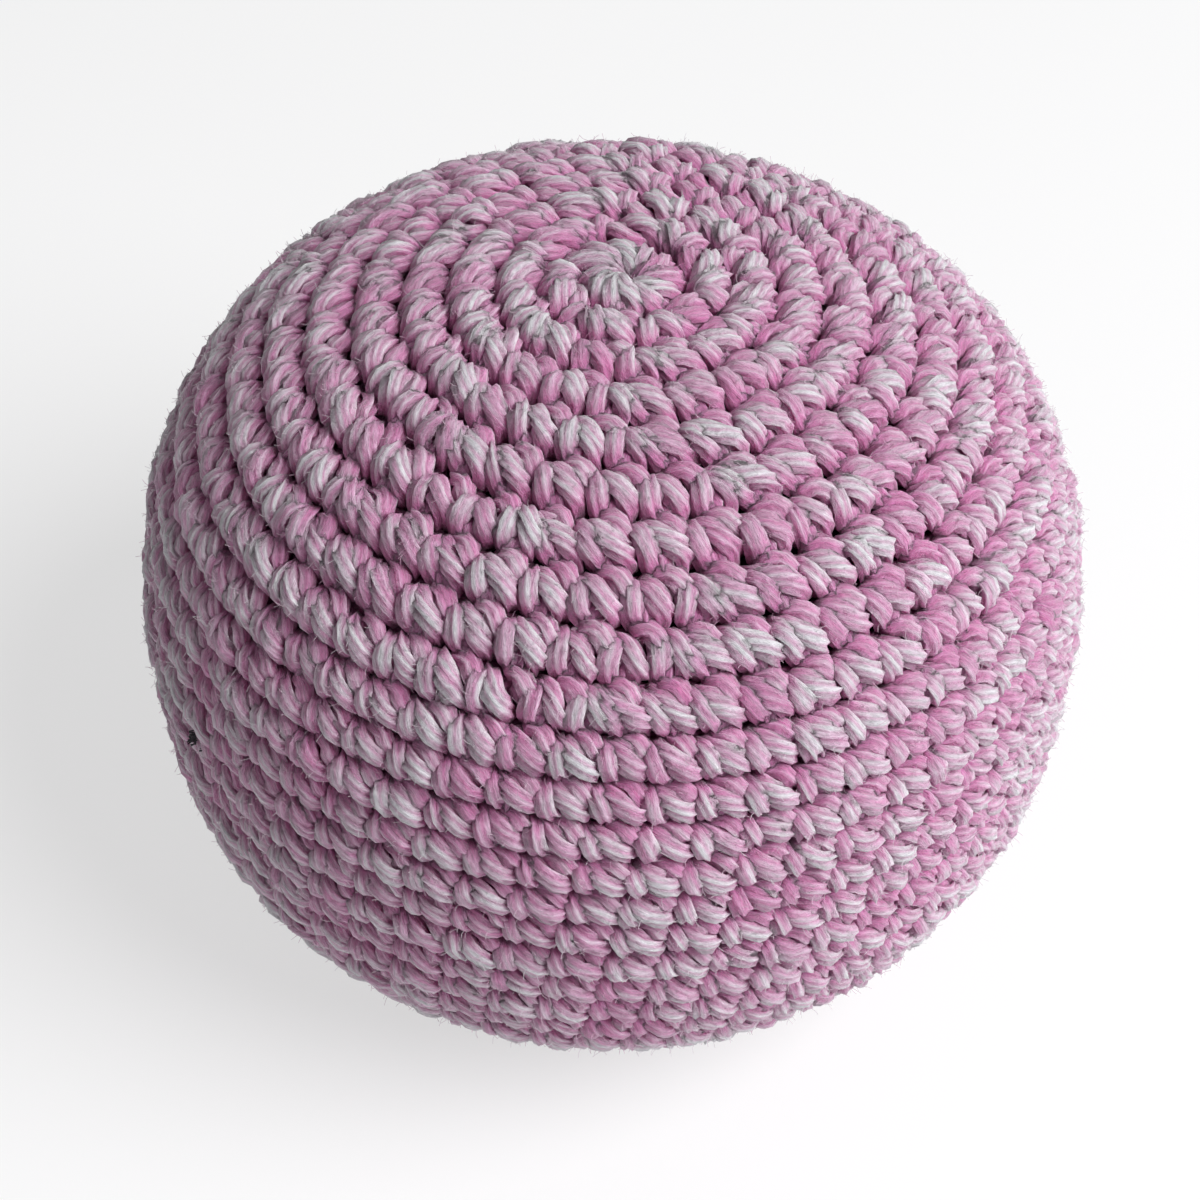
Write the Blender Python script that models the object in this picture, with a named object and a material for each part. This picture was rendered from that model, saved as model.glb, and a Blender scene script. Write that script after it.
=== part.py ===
"""Crocheted footbag: a cotton cover worked in one spiral, a dark cloth bag inside it, and pellets."""
import math

import bpy
import bmesh
import numpy as np

# The ball, in metres. It stands on its foot, with the ring that the work starts from on top.
BALL_WIDTH = 0.058
CROWN_HEIGHT = 0.0246
BASE_DEPTH = 0.0235
FOOT_WIDTH = 0.021
CROWN_FULLNESS = 2.4
BASE_FULLNESS = 2.5
PROFILE_STEPS = 240

# The crochet pattern: the stitches in the first round, which each round then gains, the count at
# which it stops growing, and how many more rounds are worked even before the decreases.
FIRST_STITCHES = 6
STITCHES_AROUND = 60
EVEN_ROUNDS = 12
DRIFT_SHARE = 0.12

# The cover's cloth
COVER_THICKNESS = 0.0024
GROOVE_DEPTH = 0.0009
START_HOLE_WIDTH = 0.0014
END_HOLE_WIDTH = 0.0012
START_STEP_SHARE = 0.5
LEG_TOP_SHARE = 0.32
LEG_FOOT_SHARE = 0.70
LEG_SLANT_SHARE = 0.16
WALL_SIDES = 28
WALL_RINGS = 22

# The cloth bag inside the cover, its gathered neck in a well, and the thread round the neck
LAYER_GAP = 0.0003
LINER_THICKNESS = 0.0005
WELL_WIDTH = 0.0090
WELL_DEPTH = 0.0046
WELL_ROUNDING = 0.0009
NECK_WIDTH = 0.0032
NECK_CLEARANCE = 0.0008
PLEAT_DEPTH = 0.00012
ROUNDING_STEPS = 2
THREAD_WIDTH = 0.0006
THREAD_TURNS = 3
THREAD_STEPS = 12

# The filling
PELLET_WIDTH = 0.0045
PELLET_BUMP = 0.0011
FILLING_CLEARANCE = 0.0006
FILL_SHARE = 0.80

COTTON_COLOUR = (0.64, 0.43, 0.55)
LINER_COLOUR = (0.035, 0.032, 0.038)
THREAD_COLOUR = (0.05, 0.045, 0.05)
PELLET_COLOUR = (0.72, 0.71, 0.66)


def ball_profile():
    """Radius, height and length run along the ball's side, from the crown to the base."""
    quarter = np.linspace(0.0, math.pi / 2, PROFILE_STEPS)
    crown_r = np.sin(quarter) ** (2 / CROWN_FULLNESS)
    crown_z = np.cos(quarter) ** (2 / CROWN_FULLNESS)
    base_r = np.cos(quarter[1:]) ** (2 / BASE_FULLNESS)
    base_z = np.sin(quarter[1:]) ** (2 / BASE_FULLNESS)
    radius = np.concatenate([crown_r, base_r]) * BALL_WIDTH / 2
    radius[-1] = 0.0
    height = np.concatenate([crown_z * CROWN_HEIGHT, -base_z * BASE_DEPTH])
    foot_share = (1 - (FOOT_WIDTH / BALL_WIDTH) ** BASE_FULLNESS) ** (1 / BASE_FULLNESS)
    height += BASE_DEPTH * foot_share
    run = np.concatenate([[0.0], np.cumsum(np.hypot(np.diff(radius), np.diff(height)))])
    return radius, height, run


PROFILE_R, PROFILE_Z, PROFILE_RUN = ball_profile()
SIDE_LENGTH = PROFILE_RUN[-1]


def side_point(run, inset=0.0):
    """A point of the ball's side in radius and height, set in by inset, square to the side."""
    radius = np.interp(run, PROFILE_RUN, PROFILE_R)
    height = np.interp(run, PROFILE_RUN, PROFILE_Z)
    slope_r = np.interp(run, PROFILE_RUN, np.gradient(PROFILE_R, PROFILE_RUN))
    slope_z = np.interp(run, PROFILE_RUN, np.gradient(PROFILE_Z, PROFILE_RUN))
    length = np.hypot(slope_r, slope_z)
    return radius + slope_z / length * inset, height - slope_r / length * inset


def turned(radius, height, turn):
    """A point at a radius and height, a number of turns round the ball's axis."""
    angle = 2 * math.pi * turn
    return (radius * math.cos(angle), radius * math.sin(angle), height)


def bridge(line, other):
    """Triangles between two rows of points that run the same way."""
    faces = []
    i = 0
    j = 0
    last_i = len(line) - 1
    last_j = len(other) - 1
    while i < last_i or j < last_j:
        if j == last_j or (i < last_i and (i + 1) * last_j <= (j + 1) * last_i):
            faces.append((line[i], other[j], line[i + 1]))
            i += 1
        else:
            faces.append((line[i], other[j], other[j + 1]))
            j += 1
    return faces


def closed(ring):
    """A ring of points with its first point again at its end. A single point stays as it is."""
    return ring + ring[:1] if len(ring) > 1 else ring


def material(name, colour, roughness):
    """A plain finish of one colour."""
    finish = bpy.data.materials.new(name)
    finish.use_nodes = True
    shader = finish.node_tree.nodes["Principled BSDF"]
    shader.inputs["Base Color"].default_value = (*colour, 1.0)
    shader.inputs["Roughness"].default_value = roughness
    shader.inputs["Metallic"].default_value = 0.0
    return finish


def add_object(name, verts, faces, finish, smooth=False):
    """A named object with its faces turned outwards."""
    mesh = bpy.data.meshes.new(name)
    mesh.from_pydata(verts, [], faces)
    shell = bmesh.new()
    shell.from_mesh(mesh)
    bmesh.ops.recalc_face_normals(shell, faces=shell.faces)
    shell.to_mesh(mesh)
    shell.free()
    if smooth:
        mesh.shade_smooth()
        mesh.set_sharp_from_angle(angle=math.radians(40))
    mesh.materials.append(finish)
    item = bpy.data.objects.new(name, mesh)
    bpy.context.collection.objects.link(item)
    return item


def round_counts(around, even_rounds):
    """How many cells each round has: growing by one set a round, then even, then shrinking."""
    growing = list(range(FIRST_STITCHES, around, FIRST_STITCHES))
    return growing + [around] * (even_rounds + 1) + growing[::-1]


class SpiralSkin:
    """Small raised cells laid row after row along one spiral, from the crown's hole to the base's.

    place(turn, run, raised) gives a point a number of turns round and a length down the side, on a
    crest or in a groove. crests holds, for each crest point of a cell, its share of the way down the
    cell and its share of a cell's width to the right of the middle.
    """

    def __init__(self, counts, start_run, end_run, place, crests):
        self.counts = counts
        self.rows = len(counts)
        self.start_run = start_run
        self.end_run = end_run
        self.row_height = (end_run - start_run) / self.rows
        self.place = place
        self.crests = crests
        self.verts = []
        self.faces = []
        self.lines = [self.groove_line(row) for row in range(self.rows + 1)]
        self.tip = self.add_vert(self.rows, self.groove_run(self.rows), False)
        for row in range(self.rows):
            for cell in range(counts[row]):
                self.add_cell(row, cell)

    def add_vert(self, turn, run, raised):
        """One more point, and its number."""
        self.verts.append(self.place(turn, run, raised))
        return len(self.verts) - 1

    def groove_run(self, turn):
        """How far down the side the groove has come after a number of turns."""
        run = self.start_run + self.row_height * (turn - START_STEP_SHARE)
        return min(max(run, self.start_run), self.end_run)

    def groove_line(self, row):
        """The groove above a row, with a point wherever a cell above or below it ends."""
        if row in (0, self.rows):
            count = self.counts[min(row, self.rows - 1)]
            run = self.start_run if row == 0 else self.end_run
            return [self.add_vert(row + k / count, run, True) for k in range(count)]
        count = max(self.counts[row - 1], self.counts[row])
        turns = [row + k / count for k in range(count)]
        return [self.add_vert(turn, self.groove_run(turn), False) for turn in turns]

    def reach(self, row, cell, cells):
        """The points of a groove that one cell touches, from its left end to its right end."""
        line = self.lines[row]
        first = round(cell * len(line) / cells)
        last = round((cell + 1) * len(line) / cells)
        points = line[first:last + 1]
        if last < len(line):
            return points
        if row == 0:
            return points + [line[0], self.lines[1][0]]
        if row < self.rows - 1:
            return points + [self.lines[row + 1][0]]
        if row == self.rows - 1:
            return points + [self.tip]
        return points + [line[0]]

    def add_cell(self, row, cell):
        """A cell's faces, from the groove points round it up to its crest."""
        count = self.counts[row]
        near = self.reach(row, cell, count)
        far = self.reach(row + 1, cell, count)
        left = [near[0], far[0]]
        if row == self.rows - 1 and cell == 0:
            left.insert(1, self.tip)
        turn = row + (cell + 0.5) / count
        near_run = self.start_run if row == 0 else self.groove_run(turn)
        far_run = self.end_run if row == self.rows - 1 else self.groove_run(turn + 1)
        crest = []
        for down, across in self.crests:
            run = near_run + (far_run - near_run) * down
            crest.append(self.add_vert(turn + across / count, run, True))
        self.faces += bridge(near, crest[:1])
        self.faces += bridge(crest[-1:], far)
        self.faces += bridge(left, crest)
        self.faces += bridge(crest, [near[-1], far[-1]])


def drifted(turn):
    """Turns round the ball, with each stitch a little behind the one that it hangs from."""
    return turn * (1 - DRIFT_SHARE / STITCHES_AROUND)


def cloth_place(turn, run, raised):
    """A point of the cover's outside. Below the foot's plane the cloth is pressed flat."""
    crest_r, crest_z = side_point(run)
    if raised or crest_z <= 0.0:
        return turned(crest_r, max(crest_z, 0.0), drifted(turn))
    radius, height = side_point(run, GROOVE_DEPTH)
    return turned(radius, max(height, 0.0), drifted(turn))


def make_cover():
    """The crocheted cover: its outside stitch by stitch, its plain inside and its two small holes."""
    start_run = START_HOLE_WIDTH / 2
    end_run = SIDE_LENGTH - END_HOLE_WIDTH / 2
    legs = [(LEG_TOP_SHARE, -LEG_SLANT_SHARE), (LEG_FOOT_SHARE, LEG_SLANT_SHARE)]
    skin = SpiralSkin(round_counts(STITCHES_AROUND, EVEN_ROUNDS), start_run, end_run, cloth_place, legs)
    verts = skin.verts
    faces = skin.faces
    before = skin.lines[0]
    for ring in range(WALL_RINGS + 1):
        run = start_run + (end_run - start_run) * ring / WALL_RINGS
        sides = min(WALL_SIDES, FIRST_STITCHES * 2 ** min(ring, WALL_RINGS - ring))
        radius, height = side_point(run, COVER_THICKNESS)
        first = len(verts)
        verts += [turned(radius, height, k / sides) for k in range(sides)]
        after = list(range(first, first + sides))
        faces += bridge(closed(before), closed(after))
        before = after
    faces += bridge(closed(before), closed(skin.lines[-1]))
    return add_object("crochet_cover", verts, faces, material("variegated cotton", COTTON_COLOUR, 0.75))


def rounded_line(corners, rounding, steps):
    """A line through its corners, with each inner corner rounded off."""
    points = [corners[0]]
    for before, corner, after in zip(corners, corners[1:], corners[2:]):
        corner = np.array(corner)
        back = before - corner
        ahead = after - corner
        back_length = np.linalg.norm(back)
        ahead_length = np.linalg.norm(ahead)
        reach = min(rounding, back_length / 2, ahead_length / 2)
        start = corner + back / back_length * reach
        end = corner + ahead / ahead_length * reach
        for share in np.linspace(0.0, 1.0, steps + 1):
            points.append((1 - share) ** 2 * start + 2 * share * (1 - share) * corner + share ** 2 * end)
    points.append(corners[-1])
    return points


def liner_floor():
    """Height of the middle of the bag's cloth where the well starts."""
    inset = COVER_THICKNESS + LAYER_GAP + LINER_THICKNESS / 2
    return side_point(SIDE_LENGTH - WELL_WIDTH / 2, inset)[1]


def liner_face(outward):
    """One face of the bag in radius and height: down the side, up into the well, down the neck.

    outward is how far the face lies outside the middle of the cloth: negative on the inner face.
    """
    inset = COVER_THICKNESS + LAYER_GAP + LINER_THICKNESS / 2 - outward
    well_r = WELL_WIDTH / 2 - outward
    well_run = SIDE_LENGTH - well_r - WELL_ROUNDING
    side = [side_point(run, inset) for run in np.linspace(0.0, SIDE_LENGTH, WALL_RINGS + 1) if run < well_run]
    side[0] = (0.0, side[0][1])
    neck_r = NECK_WIDTH / 2 + outward
    ceiling_z = liner_floor() + WELL_DEPTH - outward
    corners = [side[-1],
               (well_r, side_point(SIDE_LENGTH - well_r, inset)[1]),
               (well_r, ceiling_z),
               (neck_r, ceiling_z),
               (neck_r, liner_floor() + NECK_CLEARANCE)]
    return side[:-1] + rounded_line(corners, WELL_ROUNDING, ROUNDING_STEPS)


def make_liner():
    """The cloth bag, as one turned shell whose neck is gathered in small pleats."""
    outline = liner_face(LINER_THICKNESS / 2) + liner_face(-LINER_THICKNESS / 2)[::-1]
    gathered_z = liner_floor() + WELL_DEPTH + LINER_THICKNESS
    verts = []
    rings = []
    for radius, height in outline:
        first = len(verts)
        sides = WALL_SIDES if radius > 0.0 else 1
        pleat = PLEAT_DEPTH if 0.0 < radius < NECK_WIDTH and height < gathered_z else 0.0
        verts += [turned(radius + pleat * (-1) ** k, height, k / sides) for k in range(sides)]
        rings.append(list(range(first, first + sides)))
    faces = []
    for ring, after in zip(rings, rings[1:]):
        faces += bridge(closed(ring), closed(after))
    return add_object("liner_bag", verts, faces, material("liner cloth", LINER_COLOUR, 0.9), smooth=True)


def make_thread():
    """The thread wound round the bag's neck, as one tube on a helix."""
    wind_r = NECK_WIDTH / 2 + LINER_THICKNESS / 2 + PLEAT_DEPTH + LAYER_GAP + THREAD_WIDTH / 2
    pitch = THREAD_WIDTH + LAYER_GAP
    low_z = liner_floor() + NECK_CLEARANCE + THREAD_WIDTH / 2
    count = THREAD_TURNS * THREAD_STEPS
    curve = bpy.data.curves.new("liner_tie", "CURVE")
    curve.dimensions = "3D"
    curve.bevel_depth = THREAD_WIDTH / 2
    curve.bevel_resolution = 1
    curve.use_fill_caps = True
    spline = curve.splines.new("POLY")
    spline.points.add(count)
    for step in range(count + 1):
        turns = step / THREAD_STEPS
        spline.points[step].co = (*turned(wind_r, low_z + pitch * turns, turns), 1.0)
    item = bpy.data.objects.new("liner_tie", curve)
    curve.materials.append(material("sewing thread", THREAD_COLOUR, 0.7))
    bpy.context.collection.objects.link(item)
    return item


def filling_place(turn, run, raised):
    """A point of the heap's outside: it fills the bag's floor and sides, and lies level on top.

    Round the well the pellets stand clear of the gathered neck.
    """
    sunk = 0.0 if raised else PELLET_BUMP
    inset = COVER_THICKNESS + LAYER_GAP + LINER_THICKNESS + FILLING_CLEARANCE
    radius, height = side_point(run, inset + sunk)
    if run > SIDE_LENGTH / 2 and radius < WELL_WIDTH / 2 + PELLET_WIDTH:
        height = max(height, liner_floor() + WELL_DEPTH + LINER_THICKNESS + FILLING_CLEARANCE + sunk)
    level = PROFILE_Z[0] * FILL_SHARE - sunk
    return turned(max(radius, 0.0), min(height, level), turn)


def make_filling():
    """The heap of loose pellets that has settled in the bag, as one solid of touching pellets."""
    around = round(math.pi * BALL_WIDTH / PELLET_WIDTH / FIRST_STITCHES) * FIRST_STITCHES
    growing_rows = around // FIRST_STITCHES - 1
    rows = round(SIDE_LENGTH / PELLET_WIDTH)
    counts = round_counts(around, max(rows - 2 * growing_rows - 1, 0))
    first_run = PELLET_WIDTH / 4
    skin = SpiralSkin(counts, first_run, SIDE_LENGTH - first_run, filling_place, [(0.5, 0.0)])
    faces = skin.faces + [skin.lines[0], skin.lines[-1]]
    return add_object("pellet_filling", skin.verts, faces, material("pellet plastic", PELLET_COLOUR, 0.45))


for old in list(bpy.data.objects):
    bpy.data.objects.remove(old)
make_cover()
make_liner()
make_thread()
make_filling()
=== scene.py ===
"""Looks of the crocheted footbag: the worked yarn, the cloth bag inside it, its tie and its pellets."""

import math

import bpy
import numpy as np
from bpy.props import FloatProperty, FloatVectorProperty, IntProperty, PointerProperty
from mathutils import Matrix, Vector


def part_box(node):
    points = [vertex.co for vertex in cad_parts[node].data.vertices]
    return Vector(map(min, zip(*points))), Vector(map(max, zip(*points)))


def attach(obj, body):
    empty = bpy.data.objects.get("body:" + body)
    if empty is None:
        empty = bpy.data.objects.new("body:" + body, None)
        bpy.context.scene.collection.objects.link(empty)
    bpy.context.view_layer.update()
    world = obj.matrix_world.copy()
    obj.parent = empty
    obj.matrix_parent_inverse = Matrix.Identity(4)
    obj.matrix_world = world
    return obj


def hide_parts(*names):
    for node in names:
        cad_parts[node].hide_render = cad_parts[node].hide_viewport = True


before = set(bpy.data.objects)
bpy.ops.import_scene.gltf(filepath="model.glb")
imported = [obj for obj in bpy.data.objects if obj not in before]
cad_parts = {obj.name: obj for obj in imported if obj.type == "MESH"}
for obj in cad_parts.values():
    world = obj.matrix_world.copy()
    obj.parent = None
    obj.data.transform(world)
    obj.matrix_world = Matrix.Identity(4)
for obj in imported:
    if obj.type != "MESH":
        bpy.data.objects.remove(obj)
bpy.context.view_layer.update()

bl_info = {
    "name": "Crocheted footbag",
    "version": (1, 0, 0),
    "blender": (4, 5, 0),
    "location": "3D View > Sidebar > Footbag",
    "description": "Builds a crocheted footbag stitch by stitch round its packed solids",
    "category": "Add Mesh",
}

COVER_LOW, COVER_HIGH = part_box("crochet_cover")
LINER_LOW, LINER_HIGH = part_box("liner_bag")
TIE_LOW, TIE_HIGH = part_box("liner_tie")
PELLETS_LOW, PELLETS_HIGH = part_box("pellet_filling")
FULL_TURN = 2 * math.pi

# One single crochet as it lies seen from outside, with the work growing downwards. Each point has
# its place along the round in stitch widths from the stitch's own neck, its place down the round in
# round heights, its depth in yarn widths, and how full the yarn is there.
STITCH_PATH = (
    # behind the cloth, down to the hole under the last round
    (-0.92, 1.12, -1.98, 0.72),
    (-0.72, 0.66, -2.00, 0.70),
    (-0.54, 0.38, -1.95, 0.62),
    (-0.44, 0.25, -1.60, 0.46),
    # the left leg, from the hole straight down to the neck
    (-0.43, 0.24, -1.06, 0.46),
    (-0.42, 0.34, -0.64, 0.82),
    (-0.38, 0.49, -0.50, 1.16),
    (-0.34, 0.65, -0.54, 1.16),
    (-0.28, 0.78, -1.00, 0.60),
    # round behind the neck
    (-0.16, 0.86, -1.58, 0.48),
    (0.10, 0.92, -1.78, 0.54),
    (0.26, 0.86, -1.52, 0.48),
    # the right leg, bowed out on its way back up to the hole
    (0.32, 0.75, -1.00, 0.58),
    (0.27, 0.62, -0.58, 1.00),
    (0.12, 0.46, -0.50, 1.12),
    (-0.12, 0.33, -0.60, 0.88),
    (-0.30, 0.24, -1.04, 0.48),
    (-0.36, 0.22, -1.60, 0.46),
    # up the back of the stitch, and forward between its legs
    (-0.24, 0.44, -1.60, 0.70),
    (-0.12, 0.62, -1.06, 0.94),
    (-0.10, 0.86, -1.00, 0.88),
    # the front strand of the chain along the top edge, which shows as a small arch by the hole
    (-0.18, 1.12, -0.98, 0.82),
    (-0.17, 1.10, -0.66, 0.88),
    (-0.09, 1.01, -0.56, 0.96),
    (0.03, 1.01, -0.54, 1.00),
    (0.11, 1.14, -0.54, 1.04),
    (0.14, 1.34, -0.64, 0.98),
    (0.25, 1.52, -1.15, 0.76),
    (0.62, 1.44, -1.55, 0.68),
    (0.95, 1.32, -1.66, 0.68),
    # its back strand, to where the next stitch begins
    (1.05, 1.26, -1.86, 0.70),
    (0.80, 1.28, -1.98, 0.70),
    (0.50, 1.26, -1.98, 0.72),
    (0.24, 1.20, -1.98, 0.72),
)
HOLE_ALONG = -0.38
BACKWARD_STEP = 0.12


# Settings, nodes and meshes


def length(label, text, default):
    return FloatProperty(name=label, description=text, default=default, unit="LENGTH")


def factor(label, text, default):
    return FloatProperty(name=label, description=text, default=default, subtype="FACTOR")


def angle(label, text, degrees):
    return FloatProperty(name=label, description=text, default=math.radians(degrees), subtype="ANGLE")


def colour(label, text, default):
    return FloatVectorProperty(name=label, description=text, default=default, subtype="COLOR")


def count(label, text, default):
    return IntProperty(name=label, description=text, default=default)


class Wire:
    """What an output of a node gives. Sums are made with it as with a number."""

    def __init__(self, graph, socket):
        self.graph, self.socket = graph, socket

    def other(self, output):
        """What another output of the same node gives."""
        return Wire(self.graph, self.socket.node.outputs[output])

    def __add__(self, value):
        return self.graph.math("ADD", self, value)

    def __sub__(self, value):
        return self.graph.math("SUBTRACT", self, value)

    def __rsub__(self, value):
        return self.graph.math("SUBTRACT", value, self)

    def __mul__(self, value):
        return self.graph.math("MULTIPLY", self, value)

    def __truediv__(self, value):
        return self.graph.math("DIVIDE", self, value)


class Graph:
    """Adds the nodes of one tree and joins them."""

    def __init__(self, tree):
        self.tree = tree

    def put(self, value, socket):
        """Gives an input its value, or joins a wire to it."""
        if isinstance(value, Wire):
            self.tree.links.new(value.socket, socket)
        else:
            socket.default_value = value

    def get(self, kind, inputs=None, output=0, **settings):
        """What a new node gives."""
        node = self.tree.nodes.new(kind)
        for name, value in settings.items():
            setattr(node, name, value)
        for key, value in (inputs or {}).items():
            self.put(value, node.inputs[key])
        return Wire(self, node.outputs[output])

    def math(self, operation, *values):
        return self.get("ShaderNodeMath", dict(enumerate(values)), operation=operation)

    def vector(self, operation, first, second):
        return self.get("ShaderNodeVectorMath", {0: first, 1: second}, operation=operation)

    def scaled(self, vector, share):
        """A vector times a number."""
        return self.get("ShaderNodeVectorMath", {0: vector, "Scale": share}, operation="SCALE")

    def joined(self, x, y=0.0, z=0.0):
        """A vector of three numbers."""
        return self.get("ShaderNodeCombineXYZ", {0: x, 1: y, 2: z})

    def noise(self, place, scale, detail, roughness=0.5):
        return self.get("ShaderNodeTexNoise", {
            "Vector": place, "Scale": scale, "Detail": detail, "Roughness": roughness})


class Shape(Graph):
    """A new Geometry Nodes tree with named inputs."""

    def __init__(self, name, inputs):
        super().__init__(bpy.data.node_groups.new(name, "GeometryNodeTree"))
        inputs = {"Geometry": "Geometry", **inputs, "Material": "Material"}
        for label, kind in inputs.items():
            self.tree.interface.new_socket(label, in_out="INPUT", socket_type="NodeSocket" + kind)
        self.tree.interface.new_socket("Geometry", in_out="OUTPUT", socket_type="NodeSocketGeometry")
        start = self.get("NodeGroupInput")
        self.given = {label: start.other(label) for label in inputs}

    def kept(self, name, kind="FLOAT"):
        """The numbers kept under a name."""
        return self.get("GeometryNodeInputNamedAttribute", {"Name": name}, data_type=kind)

    def keep(self, mesh, name, value):
        """Keeps a number for each point under a name."""
        return self.get(
            "GeometryNodeStoreNamedAttribute", {"Geometry": mesh, "Name": name, "Value": value},
            data_type="FLOAT", domain="POINT")

    def moved(self, mesh, offset):
        return self.get("GeometryNodeSetPosition", {"Geometry": mesh, "Offset": offset})

    def ring(self, sides, radius):
        """A circle that numbers its points."""
        circle = self.get("GeometryNodeCurvePrimitiveCircle", {"Resolution": sides, "Radius": radius})
        return self.keep(circle, "side", self.get("GeometryNodeInputIndex"))

    def tube(self, curve, section):
        return self.get("GeometryNodeCurveToMesh", {
            "Curve": curve, "Profile Curve": section, "Fill Caps": True})

    def close(self, mesh, smooth=True):
        """Ends the tree: all of it real, and in its material."""
        if smooth:
            mesh = self.get("GeometryNodeSetShadeSmooth", {"Geometry": mesh, "Shade Smooth": True})
        mesh = self.get("GeometryNodeRealizeInstances", {"Geometry": mesh})
        mesh = self.get("GeometryNodeSetMaterial", {"Geometry": mesh, "Material": self.given["Material"]})
        self.put(mesh, self.tree.nodes.new("NodeGroupOutput").inputs[0])
        return self.tree


class Finish(Graph):
    """A new material, whose colours are worked out by nodes."""

    def __init__(self, name):
        self.made = bpy.data.materials.new(name)
        self.made.use_nodes = True
        super().__init__(self.made.node_tree)
        self.shader = self.tree.nodes["Principled BSDF"]

    def kept(self, name):
        """The numbers kept in the mesh under a name."""
        return self.get("ShaderNodeAttribute", None, "Fac", attribute_name=name)

    def spread(self, value, low, high, new_low, new_high, **settings):
        """A number moved from one range to another."""
        return self.get("ShaderNodeMapRange", {
            "Value": value, "From Min": low, "From Max": high, "To Min": new_low, "To Max": new_high},
            **settings)

    def ramp(self, value, *stops):
        """A colour that runs through its stops as a number grows."""
        made = self.get("ShaderNodeValToRGB", {"Fac": value})
        bar = made.socket.node.color_ramp.elements
        for end, stop in zip(bar, (stops[0], stops[-1])):
            end.position, end.color = stop[0], (*stop[1], 1)
        for place, shade in stops[1:-1]:
            bar.new(place).color = (*shade, 1)
        return made

    def close(self, shade, height, depth, strength, levels):
        """Puts on the colour, the bumps and the other levels."""
        bump = self.get("ShaderNodeBump", {"Height": height, "Strength": strength, "Distance": depth})
        for key, value in {"Base Color": shade, "Normal": bump, **levels}.items():
            self.put(value, self.shader.inputs[key])
        return self.made


def seen_straight(graph):
    """Is 1 for what the camera sees, also in a gloss or through clear things, and 0 for stray light."""
    path = graph.get("ShaderNodeLightPath", None, "Is Camera Ray")
    seen = graph.math("MAXIMUM", path, path.other("Is Glossy Ray"))
    return graph.math("MAXIMUM", seen, path.other("Is Transmission Ray"))


def run_tree(item, tree, values):
    """Runs a tree on an object with the named values, and leaves its result as a plain mesh."""
    modifier = item.modifiers.new(tree.name, "NODES")
    modifier.node_group = tree
    for socket in tree.interface.items_tree:
        if socket.in_out == "INPUT" and socket.name in values:
            modifier[socket.identifier] = values[socket.name]
    graph = bpy.context.evaluated_depsgraph_get()
    made = bpy.data.meshes.new_from_object(item.evaluated_get(graph))
    item.modifiers.remove(modifier)
    item.data = made
    made.name = item.name


def add_item(name, verts, edges, faces):
    """A new mesh object at the origin."""
    mesh = bpy.data.meshes.new(name)
    mesh.from_pydata(verts, edges, faces)
    item = bpy.data.objects.new(name, mesh)
    bpy.context.scene.collection.objects.link(item)
    return item


def put_values(mesh, name, values):
    """Keeps one number for each point of a mesh."""
    layer = mesh.attributes.new(name, "FLOAT", "POINT")
    layer.data.foreach_set("value", np.asarray(values, dtype=np.float32))


def get_values(mesh, name):
    """The numbers kept for the points of a mesh."""
    values = np.empty(len(mesh.vertices), dtype=np.float32)
    mesh.attributes[name].data.foreach_get("value", values)
    return values


def run_along(points):
    """How far along a line each of its points lies."""
    return np.concatenate([[0.0], np.cumsum(np.linalg.norm(np.diff(points, axis=0), axis=1))])


# The shape of the ball


class BallSide:
    """The outline of the ball from the crown to the base, and points on it."""

    def __init__(self, size):
        quarter = np.linspace(0.0, math.pi / 2, 400)
        crown = 2 / size.crown_fullness
        base = 2 / size.base_fullness
        radius = np.concatenate([np.sin(quarter) ** crown, np.cos(quarter[1:]) ** base])
        radius[-1] = 0.0
        width = COVER_HIGH[0] - COVER_LOW[0]
        foot = (1 - (size.foot_width / width) ** size.base_fullness) ** (1 / size.base_fullness)
        self.radius = radius * width / 2
        self.uncut = size.base_depth * foot + np.concatenate([
            np.cos(quarter) ** crown * (COVER_HIGH[2] - size.base_depth * foot),
            -np.sin(quarter[1:]) ** base * size.base_depth,
        ])
        self.height = np.maximum(self.uncut, 0.0)
        self.run = run_along(np.stack([self.radius, self.height], axis=1))
        self.length = self.run[-1]
        kernel = np.hanning(25)
        kernel /= kernel.sum()
        slopes = np.array([
            np.convolve(np.pad(np.gradient(line, self.run), 12, mode="edge"), kernel, mode="valid")
            for line in (self.radius, self.height)
        ])
        self.slope_r, self.slope_z = slopes / np.hypot(*slopes)

    def place(self, turn, run, depth):
        """Points at an angle round the ball and a run down its side, raised by depth above it."""
        radius, height, slope_r, slope_z = (
            np.interp(run, self.run, line)
            for line in (self.radius, self.height, self.slope_r, self.slope_z))
        radius = radius - slope_z * depth
        return np.stack([radius * np.cos(turn), radius * np.sin(turn), height + slope_r * depth], axis=-1)

    def room(self, run, thickness):
        """How much of the cloth's thickness there is above the flat foot, from 0 to 1."""
        return 1 + np.minimum(np.interp(run, self.run, self.uncut), 0.0) / thickness


# The yarn's way through the stitches


def through(points, steps):
    """A smooth line through rows of numbers, where the line goes on into its own next copy."""
    step = np.zeros(points.shape[1])
    step[0] = 1.0
    wide = np.concatenate([points[-2:] - step, points, points[:3] + step])
    t = np.linspace(0.0, 1.0, steps, endpoint=False)[:, None]
    made = []
    for i in range(len(points)):
        a, b, c, d = wide[i + 1:i + 5]
        out_slope, in_slope = (c - a) / 2, (d - b) / 2
        made.append(
            (2 * t**3 - 3 * t**2 + 1) * b + (t**3 - 2 * t**2 + t) * out_slope
            + (3 * t**2 - 2 * t**3) * c + (t**3 - t**2) * in_slope
        )
    return np.concatenate(made)


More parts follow.
